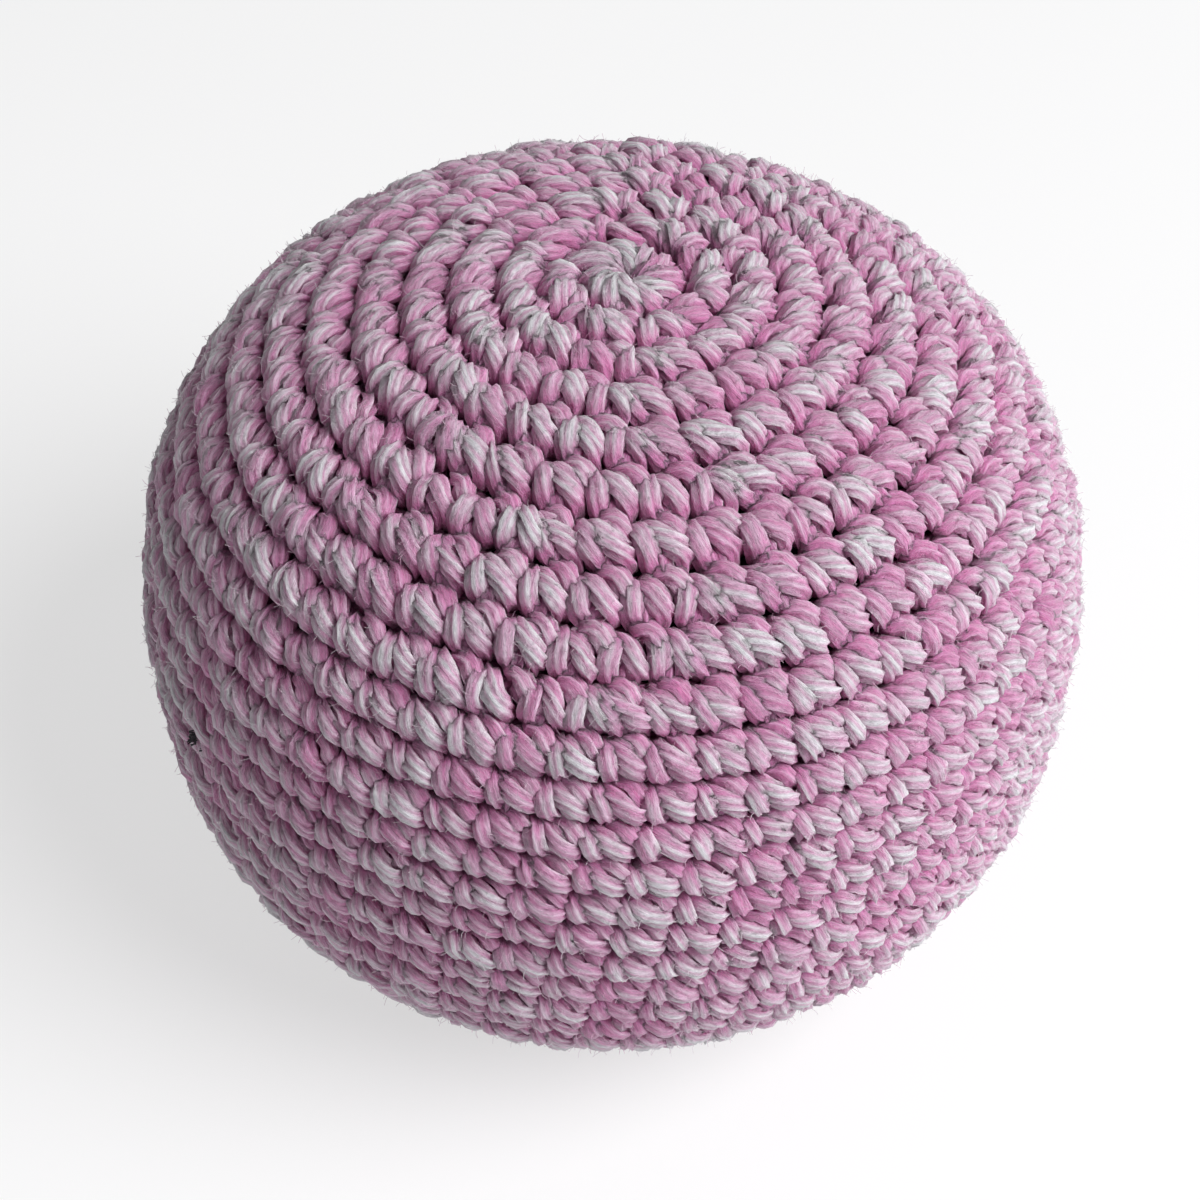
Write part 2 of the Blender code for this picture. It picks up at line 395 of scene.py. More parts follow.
def evenly(rows, weight, points):
    """The same line with its points spread evenly by weighted length, and that length."""
    steps = np.linalg.norm(np.diff(rows[:, :3], axis=0), axis=1) * weight
    run = np.concatenate([[0.0], np.cumsum(steps)])
    even = np.linspace(0.0, run[-1], points + 1)[:-1]
    return np.stack([np.interp(even, run, rows[:, k]) for k in range(4)], axis=1), run[-1]


def settled_stitch(wide, high, yarn, samples):
    """One stitch of an endless flat swatch, with the strands pressed apart where they would overlap.

    The rows hold the place along, the place down, the depth and the girth.
    """
    scale = np.array([wide, high, yarn, 1.0])
    line = through(np.array(STITCH_PATH), 12)
    points = 72
    line, run = evenly(np.concatenate([line, line[:1] + (1.0, 0, 0, 0)]) * scale, 1.0, points)
    girth = line[:, 3]
    start = line[:, :3].copy()
    place = start.copy()
    skip = int(1.5 * yarn / (run / points))
    index = np.arange(points)
    for _ in range(120):
        push = np.zeros_like(place)
        for i, j in ((i, j) for j in (-1, 0, 1) for i in (-2, -1, 0, 1, 2)):
            other = place + np.array([(i - BACKWARD_STEP * j) * wide, j * high, 0.0])
            gap = place[:, None] - other[None]
            distance = np.linalg.norm(gap, axis=2) + 1e-9
            wanted = 0.42 * yarn * (girth[:, None] + girth[None])
            near = distance < wanted
            if j == 0:
                near &= np.abs(index[:, None] - index[None] - i * points) > skip
            force = np.where(near, (wanted - distance) / distance, 0.0)
            push += (gap * force[..., None]).sum(axis=1) * 0.10
        around = np.concatenate([place[-1:] - [wide, 0, 0], place, place[:1] + [wide, 0, 0]])
        bend = (around[:-2] + around[2:]) / 2 - place
        place = place + push + bend * 0.22 + (start - place) * 0.10
        place[:, 2] = np.clip(place[:, 2], -2.06 * yarn, -0.48 * yarn * girth)
    line[:, :3] = place
    ends = np.concatenate([line, line[:1] + (wide, 0, 0, 0)])
    # the strands that show get more points than those behind the cloth
    weight = np.where(ends[:-1, 2] > -1.25 * yarn, 1.7, 0.8)
    return evenly(ends, weight, samples)[0] / scale


def round_counts(size):
    """How many stitches each round has: six more each time, then even, then six fewer."""
    growing = list(range(size.first_stitches, size.stitches_around, size.first_stitches))
    return growing + [size.stitches_around] * (size.even_rounds + 1) + growing[::-1]


def round_edges(size, side_length):
    """How far down the side each round ends, with the taller rounds of the crown and the base."""
    rounds = len(round_counts(size))
    tall = np.ones(rounds)
    grown = size.stitches_around // size.first_stitches
    tall[4:grown] = size.shoulder_round_share
    tall[grown:grown + 8] = size.side_round_share
    tall = np.convolve(np.pad(tall, 1, mode="edge"), (0.25, 0.5, 0.25), mode="valid")
    edges = np.concatenate([[0.0], np.cumsum(tall)])
    return size.ring_radius + edges / edges[-1] * (side_length - 2 * size.ring_radius)


def stitch_places(counts, chance):
    """Where each stitch stands in turns, and how far the holes of its two legs are to one side.

    Each stitch is pulled to the hole that it is worked into and to an even distance from its
    neighbours. Where a round grows, two stitches share a hole. Where it shrinks, one takes two.
    """
    firsts = np.concatenate([[0], np.cumsum(counts)])
    width = np.concatenate([np.full(many, 1 / many) for many in counts])
    parent, split, spread = [], [], []
    for row, many in enumerate(counts):
        last = counts[row - 1] if row else many
        cells = np.arange(many)
        extra = many - last
        offset = chance.uniform(0.25, 0.75)
        marks = np.floor((np.arange(abs(extra)) + offset) * many / max(abs(extra), 1)).astype(int)
        passed = np.searchsorted(marks, cells, side="right" if extra > 0 else "left")
        link = cells - np.sign(extra) * passed
        jump = np.diff(link, append=last)
        twin = jump == 0
        split += list(0.5 * np.roll(twin, 1) * (cells > 0) - 0.5 * twin)
        spread += list(1.0 * (jump > 1))
        parent += list(firsts[max(row - 1, 0)] + link)
    parent, split, spread = (np.array(values) for values in (parent, split, spread))
    turn = np.concatenate([row + np.arange(many) / many for row, many in enumerate(counts)])
    drift = BACKWARD_STEP / max(counts)
    first = np.arange(len(turn)) < counts[0]

    def worked_into(turn):
        """The middle of each stitch's hole, the hole's width, and the turns with one before the first."""
        wide = np.concatenate([[turn[0] - width[0]], turn])
        return (wide[parent] + wide[parent + 1]) / 2 + 1, wide[parent + 1] - wide[parent], wide

    for _ in range(1500):
        hole, step, _ = worked_into(turn)
        target = hole + drift + width * (split * 0.8 + 0.38) + spread * step / 2
        even = turn.copy()
        even[1:-1] = (turn[:-2] + width[1:-1] + turn[2:] - width[2:]) / 2
        even[-1] = turn[-2] + width[-1]
        turn = np.where(first, turn, even * 0.93 + target * 0.07)
    hole, step, wide = worked_into(turn)
    local = np.diff(wide)
    hole = np.where(first, turn + HOLE_ALONG * local, hole + drift)
    left = (hole - turn) / local - HOLE_ALONG + split * 0.24
    return turn, left, left + spread * step / local


def yarn_route(size, side):
    """Every sample of the yarn's middle line, its girth, and the stitch that it belongs to."""
    counts = round_counts(size)
    rounds = len(counts)
    edges = round_edges(size, side.length)
    chance = np.random.default_rng(size.seed)
    stitch = settled_stitch(size.stitch_width, side.length / rounds, size.yarn_width, size.samples)
    turn, hole_left, hole_right = stitch_places(counts, chance)
    total = len(turn)
    after = np.append(turn[1:], 2 * turn[-1] - turn[-2])
    before = np.append(2 * turn[0] - turn[1], turn[:-1])
    along, down, depth, girth = (np.repeat(stitch[None, :, k], total, axis=0) for k in range(4))

    # the hole moves with the stitch of the last round that it goes under
    near_hole = np.clip(1 - np.maximum(down, 0.0) / 0.95, 0.0, 1.0)
    near_hole = near_hole * near_hole * (3 - 2 * near_hole)
    share = np.arange(len(stitch)) / len(stitch)
    right_side = share > share[np.argmax(stitch[:, 0] * (stitch[:, 2] > -1.2) * (share < 0.6))]
    shift = np.where(right_side[None], hole_right[:, None], hole_left[:, None])
    shift = np.clip(shift, -0.7, 1.2)
    along = along + shift * near_hole

    # no two stitches come out quite alike
    wobble = chance.normal(0.0, 1.0, (total, 8)) * size.unevenness
    leg = np.exp(-((down - 0.5) / 0.35) ** 2) * (depth > -1.2)
    inner = np.sin(math.pi * share)[None]
    along = along + near_hole * wobble[:, 0:1] * 0.30 + leg * inner * wobble[:, 1:2] * 0.35
    down = down + near_hole * wobble[:, 2:3] * 0.30 + inner * wobble[:, 3:4] * 0.25
    depth = depth + leg * wobble[:, 4:5] * 0.9 + inner * wobble[:, 5:6] * 0.5
    girth = girth * (1 + wobble[:, 6:7] * 0.35)
    # a mask for painted shade: near 1 where the yarn goes down into its hole, which the material paints
    # near-black
    from_hole = ((along - HOLE_ALONG - shift) / 0.30) ** 2 + ((down - 0.06) / 0.17) ** 2
    hole_shade = np.exp(-from_hole) * (depth < -0.55)

    here = turn[:, None] + along * np.where(along < 0, (turn - before)[:, None], (after - turn)[:, None])
    knots = np.concatenate([[0.5, 1.0, 1.5, 2.0], np.arange(2, rounds + 1) + 0.5])
    reached = np.concatenate([[edges[0]], edges[2] * np.array([0.44, 0.60, 0.82]), edges[2:]])
    run = np.interp(here + down, knots, reached)
    # the stitches of the first round all come out of the ring
    far_end = np.interp(here + 1.0, knots, reached)
    from_ring = edges[0] + (far_end - edges[0]) * np.clip((down - 0.2) / 0.8, 0.0, 1.0)
    in_ring = (np.arange(total) < counts[0])[:, None] & (down < 1.0)
    run = np.where(in_ring, from_ring, run)
    turned = FULL_TURN * here * (1 - BACKWARD_STEP / size.stitches_around) + size.start_angle
    # the strands behind the cloth lie closer, and the cloth sinks between two rows
    depth = np.where(depth < -1.2, -1.2 + (depth + 1.2) * 0.68, depth)
    valley = np.exp(-((down - 0.04) / 0.15) ** 2) + np.exp(-((down - 1.04) / 0.15) ** 2)
    lower = np.clip((run / side.length - 0.42) / 0.2, 0.0, 1.0)
    depth = depth - size.row_relief * (1 + 0.4 * lower) * valley
    drawn_in = np.clip(run / size.ring_reach, 0.0, 1.0)
    depth = depth * (0.50 + 0.50 * drawn_in * drawn_in * (3 - 2 * drawn_in))
    run = np.minimum(run, side.length)
    room = FULL_TURN * np.interp(run, side.run, side.radius) * (after - turn)[:, None]
    girth = girth * np.clip(room / size.stitch_width, 0.80, 1.25) ** 0.6
    lift = np.clip(depth, -1.84, -0.45 * girth) * size.yarn_width * side.room(run, size.cloth_inset)
    place = side.place(turned, run, lift)
    upward = side.place(turned, run, lift + 1.0) - place
    values = {"girth": girth, "lift": lift, "hole_shade": hole_shade}
    values = {name: value.ravel() for name, value in values.items()}
    return place.reshape(-1, 3), upward.reshape(-1, 3), values, total


# The yarn's threads and fibres


def plied_yarn_tree():
    """Lays plies round a line in a rope's way and gives each its own round section."""
    tree = Shape("Plied yarn", {
        "Plies": "Int", "Yarn Width": "Float", "Twist Length": "Float", "Ply Fullness": "Float",
        "Sides": "Int", "Wander": "Float", "Seed": "Float"})
    given = tree.given
    curve = tree.get("GeometryNodeMeshToCurve", {0: given["Geometry"]})
    copies = tree.get(
        "GeometryNodeDuplicateElements", {"Geometry": curve, "Amount": given["Plies"]}, domain="SPLINE")
    plies = tree.keep(copies, "ply", copies.other("Duplicate Index"))
    ply, girth = tree.kept("ply"), tree.kept("girth")
    steps = tree.kept("along") / given["Twist Length"]
    noise = tree.noise(tree.joined(steps, ply * 4.7, given["Seed"]), 1.6, 1.0)
    stray = (noise - 0.5) * given["Wander"]
    turn = (steps + ply / given["Plies"] + stray) * FULL_TURN
    normal = tree.get("GeometryNodeInputNormal")
    side = tree.vector("CROSS_PRODUCT", tree.get("GeometryNodeInputTangent"), normal)
    out = tree.vector(
        "ADD", tree.scaled(normal, tree.math("COSINE", turn)), tree.scaled(side, tree.math("SINE", turn)))
    reach = given["Yarn Width"] * (1 / 3) * girth * (stray * -1.2 + 1.0)
    laid = tree.moved(plies, tree.scaled(out, reach))
    laid = tree.get("GeometryNodeSetCurveRadius", {0: laid, "Radius": girth})
    width = given["Yarn Width"] * (1 / 6) * given["Ply Fullness"]
    return tree.close(tree.tube(laid, tree.ring(given["Sides"], width)))


def soft_yarn_tree():
    """Gives a line the soft section of loosely plied yarn, one lobe for each ply, turned along it."""
    tree = Shape("Soft yarn", {
        "Plies": "Int", "Yarn Width": "Float", "Twist Length": "Float", "Groove Depth": "Float",
        "Wander": "Float", "Roughness": "Float", "Seed": "Float"})
    given = tree.given
    along = tree.kept("along")
    steps = along / given["Twist Length"]
    stray = (tree.noise(tree.joined(steps, given["Seed"]), 2.2, 1.0) - 0.5) * given["Wander"]
    curve = tree.get("GeometryNodeMeshToCurve", {0: given["Geometry"]})
    curve = tree.get("GeometryNodeSetCurveTilt", {"Curve": curve, "Tilt": (steps + stray) * FULL_TURN})
    curve = tree.get("GeometryNodeSetCurveRadius", {0: curve, "Radius": tree.kept("girth")})
    sides = given["Plies"] * 2.0
    groove = tree.math("MODULO", tree.get("GeometryNodeInputIndex"), 2.0)
    section = tree.keep(tree.ring(sides, given["Yarn Width"] * 0.5), "groove", groove)
    where = tree.scaled(tree.get("GeometryNodeInputPosition"), 1.0 - groove * given["Groove Depth"])
    section = tree.get("GeometryNodeSetPosition", {"Geometry": section, "Position": where})
    turn = tree.kept("side") / sides * FULL_TURN
    uneven = tree.noise(tree.joined(
        along * 700.0, tree.math("COSINE", turn) * 1.5, tree.math("SINE", turn) * 1.5), 1.0, 1.0)
    lift = (uneven - 0.5) * given["Roughness"] * given["Yarn Width"]
    outward = tree.get("GeometryNodeInputNormal")
    return tree.close(tree.moved(tree.tube(curve, section), tree.scaled(outward, lift)))


def loose_fibre_tree():
    """Stands short bent fibres on the outside of the yarn."""
    tree = Shape("Loose fibres", {
        "Density": "Float", "Fibre Length": "Float", "Fibre Width": "Float", "Seed": "Int"})
    given, seed = tree.given, tree.given["Seed"]
    high = tree.get("ShaderNodeSeparateXYZ", {0: tree.get("GeometryNodeInputPosition")}, 2)
    outside = tree.math("GREATER_THAN", tree.kept("level"), -0.7) * tree.math("GREATER_THAN", high, 0.0016)
    points = tree.get("GeometryNodeDistributePointsOnFaces", {
        "Mesh": given["Geometry"], "Density": given["Density"] * outside, "Seed": seed}, "Points")
    rod = tree.get("GeometryNodeMeshCylinder", {
        "Vertices": 3, "Side Segments": 2, "Radius": 0.5, "Depth": 1.0})
    rod = tree.keep(tree.moved(rod, tree.joined(high * high * 9.0, 0.0, 0.4)), "loose", 1.0)
    stray = tree.get(
        "FunctionNodeRandomValue", {0: (-1.0, -1.0, -1.0), 1: (1.0, 1.0, 1.0), "Seed": seed},
        data_type="FLOAT_VECTOR")
    lean = tree.vector("ADD", tree.scaled(points.other("Normal"), 0.40), tree.scaled(stray, 0.80))
    turned = tree.get("FunctionNodeAlignRotationToVector", {"Vector": lean}, axis="Z")
    share = tree.get("FunctionNodeRandomValue", {2: 0.5, 3: 1.5, "Seed": seed}, 1, data_type="FLOAT")
    scale = tree.joined(given["Fibre Width"], given["Fibre Width"], given["Fibre Length"] * share)
    fibres = tree.get("GeometryNodeInstanceOnPoints", {
        "Points": points, "Instance": rod, "Rotation": turned, "Scale": scale})
    fibres = tree.get("GeometryNodeRealizeInstances", {"Geometry": fibres})
    both = tree.get("GeometryNodeJoinGeometry")
    for part in (given["Geometry"], fibres):
        tree.put(part, both.socket.node.inputs[0])
    return tree.close(both, smooth=False)


def mesh_corners(mesh):
    """The point at each corner of the faces, each face's first corner, and each corner's face."""
    corner = np.empty(len(mesh.loops), dtype=np.int32)
    first, sizes = np.empty((2, len(mesh.polygons)), dtype=np.int32)
    mesh.loops.foreach_get("vertex_index", corner)
    mesh.polygons.foreach_get("loop_start", first)
    mesh.polygons.foreach_get("loop_total", sizes)
    return corner, first, np.repeat(np.arange(len(first)), sizes)


def put_map(mesh, across, up):
    """A UV map from two rows of numbers."""
    layer = mesh.uv_layers.new(name="OFBake")
    layer.data.foreach_set("uv", np.stack([across, up], axis=1).astype(np.float32).ravel())


def lay_out_yarn(mesh, sides, yarn_length, rows, spare_rows=1):
    """A UV map that lays every ply out in long strips, row under row."""
    corner, first, face = mesh_corners(mesh)
    along = get_values(mesh, "along")[corner]
    side = np.round(get_values(mesh, "side"))[corner]
    ply = np.round(get_values(mesh, "ply"))[corner] if "ply" in mesh.attributes else np.zeros(len(corner))
    run = along - float(along.min()) + ply * yarn_length
    row_length = yarn_length * (ply.max() + 1) / rows
    row = np.floor(np.minimum.reduceat(run, first)[face] / row_length)
    wraps = (np.maximum.reduceat(side, first) == sides - 1) & (np.minimum.reduceat(side, first) == 0)
    side = np.where(wraps[face] & (side == 0), sides, side)
    across = (run - row * row_length) / row_length
    put_map(mesh, across * 0.98, (row + 0.10 + 0.80 * side / sides) / (rows + spare_rows))


def lay_out_fibres(mesh, rows, spare):
    """Gives each face of the loose fibres its own small cell in the rows left free above the yarn."""
    corner, first, face = mesh_corners(mesh)
    loose = get_values(mesh, "loose")[corner] > 0.5
    place = np.arange(len(corner)) - first[face]
    cell = np.cumsum(loose[first])[face] - 1
    per_row = -(-max(cell.max() + 1, 1) // spare)
    across = (cell % per_row + 0.1 + 0.8 * ((place == 1) | (place == 2))) / per_row
    up = (rows + cell // per_row + 0.1 + 0.8 * (place > 1)) / (rows + spare)
    layer = mesh.uv_layers["OFBake"].data
    laid = np.empty(len(corner) * 2, dtype=np.float32)
    layer.foreach_get("uv", laid)
    laid.reshape(-1, 2)[loose] = np.stack([across, up], axis=1)[loose]
    layer.foreach_set("uv", laid)


def note_sections(mesh, sides):
    """Keeps where each point lies round its thread."""
    turn = get_values(mesh, "side") * FULL_TURN / sides
    put_values(mesh, "across_x", np.cos(turn))
    put_values(mesh, "across_y", np.sin(turn))


def note_level(mesh, along, place, upward, lift):
    """Keeps how deep each point lies under the ball's outside, and presses the foot flat."""
    far = get_values(mesh, "along")
    middle, up = (
        np.stack([np.interp(far, along, rows[:, k]) for k in range(3)], axis=1) for rows in (place, upward))
    points = np.empty(len(far) * 3, dtype=np.float32)
    mesh.vertices.foreach_get("co", points)
    points = points.reshape(-1, 3)
    rise = ((points - middle) * up).sum(axis=1)
    points = middle + (points - middle) * 1.08 - up * (rise * 0.26)[:, None]
    put_values(mesh, "level", 1000 * (np.interp(far, along, lift) + rise * 0.82))
    points[:, 2] = np.maximum(points[:, 2], 0.00001)
    mesh.vertices.foreach_set("co", points.ravel())


def cotton_material(size):
    """Space-dyed cotton yarn: each ply runs from pale to pink in its own time. Shade is painted into its
    colour between the plies, on the flanks, down in the cloth and in the holes, with painted glints along
    the fibres.
    """
    made = Finish("variegated_cotton")
    far = made.kept("along") * 1000.0
    level, groove, hole_shade = made.kept("level"), made.kept("groove"), made.kept("hole_shade")
    across_x, across_y = made.kept("across_x"), made.kept("across_y")

    def round_yarn(run, width, shift=0.0):
        """Texture places that change over a run of yarn, and over a share of its way round."""
        return made.joined(far / (run * 1000) + shift, across_x * width, across_y * width)

    slow = made.noise(round_yarn(size.colour_run, 0.09), 1.0, 2.5, 0.55)
    quick = made.noise(round_yarn(size.ply_run, 0.9, 40.0), 1.0, 2.0)
    strand = round_yarn(0.0008, 2.2, 90.0)
    streak = made.noise(strand, 1.0, 3.0, 0.65)
    fibre = made.noise(strand, 2.1, 3.0, 0.7)
    dye = slow * 0.74 + quick * 0.26 + (streak - 0.5) * 0.20
    shade = made.ramp(dye, (0.36, size.pale), (0.455, size.pale), (0.555, size.pink), (0.65, size.strong))
    # painted shade: darker between the plies, on the flanks, down in the cloth and last near-black in the
    # holes
    for share, dark in (
        (made.spread(groove, 0.30, 1.0, 0.0, 0.40, interpolation_type="SMOOTHSTEP"), size.shadow),
        (made.spread(level, -0.26, -0.92, 0.0, 0.92), size.shadow),
        (made.spread(level, -1.0, -1.8, 0.0, 0.95), size.deep),
        (made.spread(hole_shade, 0.22, 0.6, 0.0, 0.94), size.hollow),
    ):
        shade = made.get(
            "ShaderNodeMix", {"Factor": share, "A": shade, "B": (*dark, 1)}, "Result", data_type="RGBA")
    # painted glints and dark lines along the fibres: the colour is scaled fibre by fibre from 0.74 to 1.24
    # times
    shade = made.scaled(shade, made.spread(fibre, 0.34, 0.66, 0.74, 1.24))
    return made.close(shade, fibre, 0.00042, 1.0, {
        "Subsurface Weight": 0.9, "Subsurface Radius": (1.0, 1.0, 1.0), "Subsurface Scale": 0.0008,
        "Roughness": 0.52, "Specular IOR Level": 0.5, "Sheen Weight": 0.25, "Sheen Roughness": 0.5})


class CoverSettings(bpy.types.PropertyGroup):
    """Sizes and colours of the crocheted cover"""
    base_depth: length("Base depth", "Height of the widest place above the base's rounding", 0.0235)
    foot_width: length("Foot width", "Width of the flat that the ball stands on", 0.021)
    crown_fullness: FloatProperty(
        name="Crown fullness", description="How square the upper half is; 2 is round", default=2.4)
    base_fullness: FloatProperty(
        name="Base fullness", description="How square the lower half is; 2 is round", default=2.5)
    first_stitches: count("First round", "Stitches worked into the ring at the start", 6)
    stitches_around: count("Stitches around", "Stitches in each round of the side", 60)
    even_rounds: count("Even rounds", "Rounds worked without growing", 12)
    shoulder_round_share: factor(
        "Shoulder round share", "Height of the last growing rounds against the others", 1.08)
    side_round_share: factor("Side round share", "Height of the first even rounds against the others", 0.88)
    ring_radius: length("Ring radius", "Radius of the drawn-up ring in the middle of the crown", 0.0006)
    row_relief: factor("Row relief", "How far the cloth sinks between two rows, in yarn widths", 0.40)
    ring_reach: length("Ring reach", "How far from the ring the stitches are drawn up by it", 0.0034)
    stitch_width: length("Stitch width", "Width of a stitch on the side", 0.00304)
    yarn_width: length("Yarn width", "Width of the yarn", 0.00126)
    cloth_inset: length("Cloth inset", "Depth of the cloth bag's outer face under the outside", 0.0027)
    plies: count("Plies", "Plies in the yarn", 7)
    twist_length: length("Twist length", "Length of yarn in which its plies turn once", 0.0100)
    groove_depth: factor("Groove depth", "Depth between two plies against half the yarn", 0.27)
    wander: factor("Wander", "How unevenly the plies turn", 0.5)
    roughness: factor("Roughness", "How uneven the yarn's section is", 0.55)
    fibre_density: FloatProperty(
        name="Loose fibres", description="Loose fibres on each square millimetre of yarn", default=1.8)
    fibre_length: length("Fibre length", "Length of a loose fibre", 0.00048)
    fibre_width: length("Fibre width", "Width of a loose fibre", 0.000032)
    samples: count("Points per stitch", "Points along each stitch", 40)
    pieces: count("Bands", "Bands that the long yarn is kept in", 11)
    map_rows: count("Map rows", "Rows in which a band's texture map lays its yarn out", 120)
    fibre_rows: count("Fibre rows", "Rows of that map for the loose fibres", 8)
    unevenness: factor("Unevenness", "How much stitches differ from one another", 0.10)
    start_angle: angle("Start angle", "Where the first stitch stands", 208.0)
    seed: count("Seed", "Picks another hand's unevenness", 7)
    pale: colour("Pale", "The yarn where it is nearly white", (0.635, 0.612, 0.660))
    pink: colour("Pink", "The yarn where it is pink", (0.575, 0.358, 0.495))
    strong: colour("Strong pink", "The yarn where the dye is strongest", (0.50, 0.185, 0.355))
    # painted shade: deep for the yarn down in the cloth, shadow between the plies and on the flanks, hollow
    # near-black where the yarn goes into a hole
    deep: colour("Deep", "The yarn down in the cloth", (0.34, 0.07, 0.20))
    shadow: colour("Shadow", "The yarn between two of its plies", (0.57, 0.165, 0.375))
    hollow: colour("Hollow", "The yarn where it goes down into a hole", (0.020, 0.008, 0.016))
    colour_run: length("Colour run", "Length of yarn in which the colour of all plies changes", 0.042)
    ply_run: length("Ply colour run", "Length in which the colour of one ply changes", 0.0036)


class FOOTBAG_OT_cover(bpy.types.Operator):
    """Crochets the cover, from the ring on the crown to the last round of the base"""
    bl_idname = "footbag.cover"
    bl_label = "Crochet the cover"

    def execute(self, context):
        size = context.scene.footbag_cover
        place, upward, values, stitches = yarn_route(size, BallSide(size))
        along = run_along(place)
        tree = soft_yarn_tree()
        fibre_tree = loose_fibre_tree()
        sides = size.plies * 2
        finish = cotton_material(size)
        edges = np.linspace(0, stitches, size.pieces + 1).round().astype(int)
        for band in range(size.pieces):
            first = edges[band] * size.samples
            last = min(edges[band + 1] * size.samples + 1, len(place))
            rows = slice(first, last)
            name = f"crochet_cover_{band + 1:02d}"
            item = add_item(name, place[rows].tolist(), [(i, i + 1) for i in range(last - first - 1)], [])
            for kept, numbers in {"along": along, **values}.items():
                put_values(item.data, kept, numbers[rows])
            run_tree(item, tree, {
                "Plies": size.plies, "Yarn Width": size.yarn_width, "Twist Length": -size.twist_length,
                "Groove Depth": size.groove_depth, "Wander": size.wander, "Roughness": size.roughness,
                "Seed": float(size.seed), "Material": finish})
            note_sections(item.data, sides)
            note_level(item.data, along[rows], place[rows], upward[rows], values["lift"][rows])
            yarn_length = float(along[last - 1] - along[first])
            lay_out_yarn(item.data, sides, yarn_length, size.map_rows, size.fibre_rows)
            run_tree(item, fibre_tree, {
                "Density": size.fibre_density * 1e6, "Fibre Length": size.fibre_length,
                "Fibre Width": size.fibre_width, "Seed": size.seed + band, "Material": finish})
            lay_out_fibres(item.data, size.map_rows, size.fibre_rows)
            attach(item, "root")
            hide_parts("crochet_cover")
        return {"FINISHED"}


# The cloth bag, its tie and the pellets


class LinerSettings(bpy.types.PropertyGroup):
    """Sizes and colours of the cloth bag, its gathered neck and the thread round that"""
    thickness: length("Cloth thickness", "Thickness of the bag's cloth", 0.0005)
    well_width: length("Well width", "Width of the hollow that the neck is tucked into", 0.0090)
    well_depth: length("Well depth", "Height of that hollow", 0.0046)
    well_rounding: length("Well rounding", "Radius of the folds at the hollow's edges", 0.0009)
    neck_width: length("Neck width", "Width of the gathered neck", 0.0032)
    neck_clearance: length("Neck clearance", "Height of the neck's end above the bag's floor", 0.0008)
    pleats: count("Pleats", "Pleats in the gathered neck", 14)
    pleat_depth: length("Pleat depth", "How far the pleats stand out on the neck", 0.00012)
    crease_depth: length("Crease depth", "How deep the creases are that run to the neck", 0.0004)
    rings: count("Rings", "Rows of faces down each side of the cloth", 110)
    sides: count("Sides", "Faces round the bag", 112)
    dark: colour("Dark", "The cloth between its threads", (0.010, 0.009, 0.012))
    lit: colour("Thread", "The cloth's threads", (0.045, 0.040, 0.050))
    thread_width: length("Tie width", "Width of the thread round the neck", 0.0006)
    thread_turns: count("Tie turns", "Turns of the thread", 3)
    tuft_angle: angle("Tuft angle", "Where a tuft of the cloth shows between two stitches", -146.0)
    tuft_run: length("Tuft run", "How far down the side the tuft is", 0.0416)
    tuft_threads: count("Tuft threads", "Threads in the tuft", 26)
    tuft_width: length("Tuft thread width", "Width of a thread in the tuft", 0.00020)
    seed: count("Seed", "Picks another lie of the tuft", 3)


def rounded(corners, rounding, steps):
    """A line through its corners, with each inner corner rounded off."""
    points = [np.array(corners[0])]
    for before, corner, after in zip(corners, corners[1:], corners[2:]):
        corner = np.array(corner)
        back, ahead = before - corner, after - corner
        back_length, ahead_length = np.linalg.norm(back), np.linalg.norm(ahead)
        reach = min(rounding, back_length / 2, ahead_length / 2)
        start = corner + back / back_length * reach
        end = corner + ahead / ahead_length * reach
        for t in np.linspace(0.0, 1.0, steps):
            points.append((1 - t) ** 2 * start + 2 * t * (1 - t) * corner + t**2 * end)
    return points + [np.array(corners[-1])]


def bag_face(size, inset, side, inward):
    """One face of the bag in radius and height: down the side, up into the well, down the neck."""
    floor = float(TIE_LOW[2]) - size.neck_clearance
    half = size.thickness / 2
    depth = inset + inward
    line = np.stack([side.radius + side.slope_z * depth, side.uncut - side.slope_r * depth], axis=1)
    well = size.well_width / 2 - half + inward
    line = line[side.run < side.length - well - size.well_rounding][::6]
    line[0, 0] = 0.0
    ceiling = floor + size.well_depth + inward - half
    neck = size.neck_width / 2 + half - inward
    corners = [line[-1], (well, floor - half + inward), (well, ceiling), (neck, ceiling),
               (neck, floor + size.neck_clearance)]
    line = np.concatenate([line[:-1], rounded(corners, size.well_rounding, 7)])
    run = run_along(line)
    even = np.linspace(0.0, run[-1], size.rings)
    return np.stack([np.interp(even, run, line[:, k]) for k in range(2)], axis=1)


